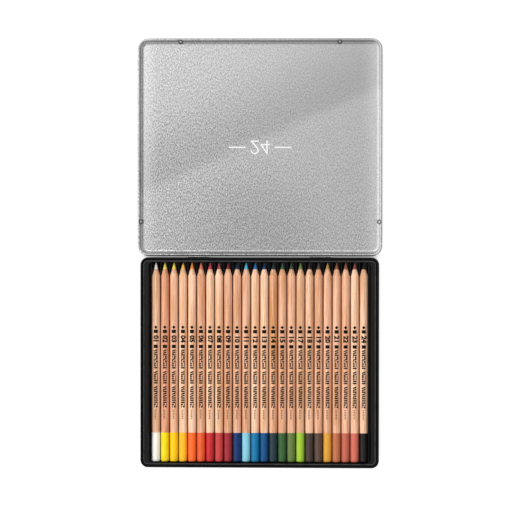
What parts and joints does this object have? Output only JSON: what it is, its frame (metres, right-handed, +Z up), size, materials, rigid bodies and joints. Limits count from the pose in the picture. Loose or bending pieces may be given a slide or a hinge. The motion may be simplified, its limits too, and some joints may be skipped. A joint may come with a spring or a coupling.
{
  "type": "colored pencil tin",
  "caption": "Flat hinged tinplate pencil box lying open, with a black grooved insert that holds a row of sharpened round colored pencils with dipped ends.",
  "frame": {"origin": "centre of the base's underside, on the table", "axes": "+Z up, +Y from the front of the base to the hinge and on to the open lid, +X to the right"},
  "size_m": [0.2152, 0.3769, 0.012],
  "materials": {
    "black_tinplate": "black lacquer on the outside, bare tin on the hinge tongues",
    "bare_tinplate": "bare tinplate with a fine grain",
    "black_plastic": "satin thermoformed sheet",
    "cedar": "bare sanded wood under a thin clear coat",
    "white_color": "glossy lacquer on the dipped end, waxy on the lead",
    "lemon_color": "glossy lacquer on the dipped end, waxy on the lead",
    "yellow_color": "glossy lacquer on the dipped end, waxy on the lead",
    "golden_color": "glossy lacquer on the dipped end, waxy on the lead",
    "orange_color": "glossy lacquer on the dipped end, waxy on the lead",
    "vermilion_color": "glossy lacquer on the dipped end, waxy on the lead",
    "scarlet_color": "glossy lacquer on the dipped end, waxy on the lead",
    "rose_red_color": "glossy lacquer on the dipped end, waxy on the lead",
    "carmine_color": "glossy lacquer on the dipped end, waxy on the lead",
    "navy_color": "glossy lacquer on the dipped end, waxy on the lead",
    "sky_blue_color": "glossy lacquer on the dipped end, waxy on the lead",
    "turquoise_color": "glossy lacquer on the dipped end, waxy on the lead",
    "blue_color": "glossy lacquer on the dipped end, waxy on the lead",
    "slate_color": "glossy lacquer on the dipped end, waxy on the lead",
    "green_color": "glossy lacquer on the dipped end, waxy on the lead",
    "olive_color": "glossy lacquer on the dipped end, waxy on the lead",
    "lime_color": "glossy lacquer on the dipped end, waxy on the lead",
    "dark_brown_color": "glossy lacquer on the dipped end, waxy on the lead",
    "umber_color": "glossy lacquer on the dipped end, waxy on the lead",
    "ochre_color": "glossy lacquer on the dipped end, waxy on the lead",
    "terracotta_color": "glossy lacquer on the dipped end, waxy on the lead",
    "rust_color": "glossy lacquer on the dipped end, waxy on the lead",
    "coral_color": "glossy lacquer on the dipped end, waxy on the lead",
    "black_color": "glossy lacquer on the dipped end, waxy on the lead"
  },
  "bodies": {
    "base": {"tin_base": "black_tinplate"},
    "lid": {"tin_lid": "bare_tinplate"},
    "insert": {"pencil_insert": "black_plastic"},
    "pencil_01": {"pencil_01_wood": "cedar", "pencil_01_lead_and_dip": "white_color"},
    "pencil_02": {"pencil_02_wood": "cedar", "pencil_02_lead_and_dip": "lemon_color"},
    "pencil_03": {"pencil_03_wood": "cedar", "pencil_03_lead_and_dip": "yellow_color"},
    "pencil_04": {"pencil_04_wood": "cedar", "pencil_04_lead_and_dip": "golden_color"},
    "pencil_05": {"pencil_05_wood": "cedar", "pencil_05_lead_and_dip": "orange_color"},
    "pencil_06": {"pencil_06_wood": "cedar", "pencil_06_lead_and_dip": "vermilion_color"},
    "pencil_07": {"pencil_07_wood": "cedar", "pencil_07_lead_and_dip": "scarlet_color"},
    "pencil_08": {"pencil_08_wood": "cedar", "pencil_08_lead_and_dip": "rose_red_color"},
    "pencil_09": {"pencil_09_wood": "cedar", "pencil_09_lead_and_dip": "carmine_color"},
    "pencil_10": {"pencil_10_wood": "cedar", "pencil_10_lead_and_dip": "navy_color"},
    "pencil_11": {"pencil_11_wood": "cedar", "pencil_11_lead_and_dip": "sky_blue_color"},
    "pencil_12": {"pencil_12_wood": "cedar", "pencil_12_lead_and_dip": "turquoise_color"},
    "pencil_13": {"pencil_13_wood": "cedar", "pencil_13_lead_and_dip": "blue_color"},
    "pencil_14": {"pencil_14_wood": "cedar", "pencil_14_lead_and_dip": "slate_color"},
    "pencil_15": {"pencil_15_wood": "cedar", "pencil_15_lead_and_dip": "green_color"},
    "pencil_16": {"pencil_16_wood": "cedar", "pencil_16_lead_and_dip": "olive_color"},
    "pencil_17": {"pencil_17_wood": "cedar", "pencil_17_lead_and_dip": "lime_color"},
    "pencil_18": {"pencil_18_wood": "cedar", "pencil_18_lead_and_dip": "dark_brown_color"},
    "pencil_19": {"pencil_19_wood": "cedar", "pencil_19_lead_and_dip": "umber_color"},
    "pencil_20": {"pencil_20_wood": "cedar", "pencil_20_lead_and_dip": "ochre_color"},
    "pencil_21": {"pencil_21_wood": "cedar", "pencil_21_lead_and_dip": "terracotta_color"},
    "pencil_22": {"pencil_22_wood": "cedar", "pencil_22_lead_and_dip": "rust_color"},
    "pencil_23": {"pencil_23_wood": "cedar", "pencil_23_lead_and_dip": "coral_color"},
    "pencil_24": {"pencil_24_wood": "cedar", "pencil_24_lead_and_dip": "black_color"}
  },
  "joints": [
    {"name": "lid_hinge", "type": "hinge", "parent": "base", "child": "lid", "pos_m": [0, 0.09475, 0.00666], "axis": [-1, 0, 0], "range_deg": [-180, 0]},
    {"name": "insert_lift", "type": "slide", "parent": "base", "child": "insert", "axis": [0, 0, 1], "range_m": [0, 0.04]},
    {"name": "pencil_01_lift", "type": "slide", "parent": "insert", "child": "pencil_01", "axis": [0, 0, 1], "range_m": [0, 0.04]},
    {"name": "pencil_02_lift", "type": "slide", "parent": "insert", "child": "pencil_02", "axis": [0, 0, 1], "range_m": [0, 0.04]},
    {"name": "pencil_03_lift", "type": "slide", "parent": "insert", "child": "pencil_03", "axis": [0, 0, 1], "range_m": [0, 0.04]},
    {"name": "pencil_04_lift", "type": "slide", "parent": "insert", "child": "pencil_04", "axis": [0, 0, 1], "range_m": [0, 0.04]},
    {"name": "pencil_05_lift", "type": "slide", "parent": "insert", "child": "pencil_05", "axis": [0, 0, 1], "range_m": [0, 0.04]},
    {"name": "pencil_06_lift", "type": "slide", "parent": "insert", "child": "pencil_06", "axis": [0, 0, 1], "range_m": [0, 0.04]},
    {"name": "pencil_07_lift", "type": "slide", "parent": "insert", "child": "pencil_07", "axis": [0, 0, 1], "range_m": [0, 0.04]},
    {"name": "pencil_08_lift", "type": "slide", "parent": "insert", "child": "pencil_08", "axis": [0, 0, 1], "range_m": [0, 0.04]},
    {"name": "pencil_09_lift", "type": "slide", "parent": "insert", "child": "pencil_09", "axis": [0, 0, 1], "range_m": [0, 0.04]},
    {"name": "pencil_10_lift", "type": "slide", "parent": "insert", "child": "pencil_10", "axis": [0, 0, 1], "range_m": [0, 0.04]},
    {"name": "pencil_11_lift", "type": "slide", "parent": "insert", "child": "pencil_11", "axis": [0, 0, 1], "range_m": [0, 0.04]},
    {"name": "pencil_12_lift", "type": "slide", "parent": "insert", "child": "pencil_12", "axis": [0, 0, 1], "range_m": [0, 0.04]},
    {"name": "pencil_13_lift", "type": "slide", "parent": "insert", "child": "pencil_13", "axis": [0, 0, 1], "range_m": [0, 0.04]},
    {"name": "pencil_14_lift", "type": "slide", "parent": "insert", "child": "pencil_14", "axis": [0, 0, 1], "range_m": [0, 0.04]},
    {"name": "pencil_15_lift", "type": "slide", "parent": "insert", "child": "pencil_15", "axis": [0, 0, 1], "range_m": [0, 0.04]},
    {"name": "pencil_16_lift", "type": "slide", "parent": "insert", "child": "pencil_16", "axis": [0, 0, 1], "range_m": [0, 0.04]},
    {"name": "pencil_17_lift", "type": "slide", "parent": "insert", "child": "pencil_17", "axis": [0, 0, 1], "range_m": [0, 0.04]},
    {"name": "pencil_18_lift", "type": "slide", "parent": "insert", "child": "pencil_18", "axis": [0, 0, 1], "range_m": [0, 0.04]},
    {"name": "pencil_19_lift", "type": "slide", "parent": "insert", "child": "pencil_19", "axis": [0, 0, 1], "range_m": [0, 0.04]},
    {"name": "pencil_20_lift", "type": "slide", "parent": "insert", "child": "pencil_20", "axis": [0, 0, 1], "range_m": [0, 0.04]},
    {"name": "pencil_21_lift", "type": "slide", "parent": "insert", "child": "pencil_21", "axis": [0, 0, 1], "range_m": [0, 0.04]},
    {"name": "pencil_22_lift", "type": "slide", "parent": "insert", "child": "pencil_22", "axis": [0, 0, 1], "range_m": [0, 0.04]},
    {"name": "pencil_23_lift", "type": "slide", "parent": "insert", "child": "pencil_23", "axis": [0, 0, 1], "range_m": [0, 0.04]},
    {"name": "pencil_24_lift", "type": "slide", "parent": "insert", "child": "pencil_24", "axis": [0, 0, 1], "range_m": [0, 0.04]}
  ]
}
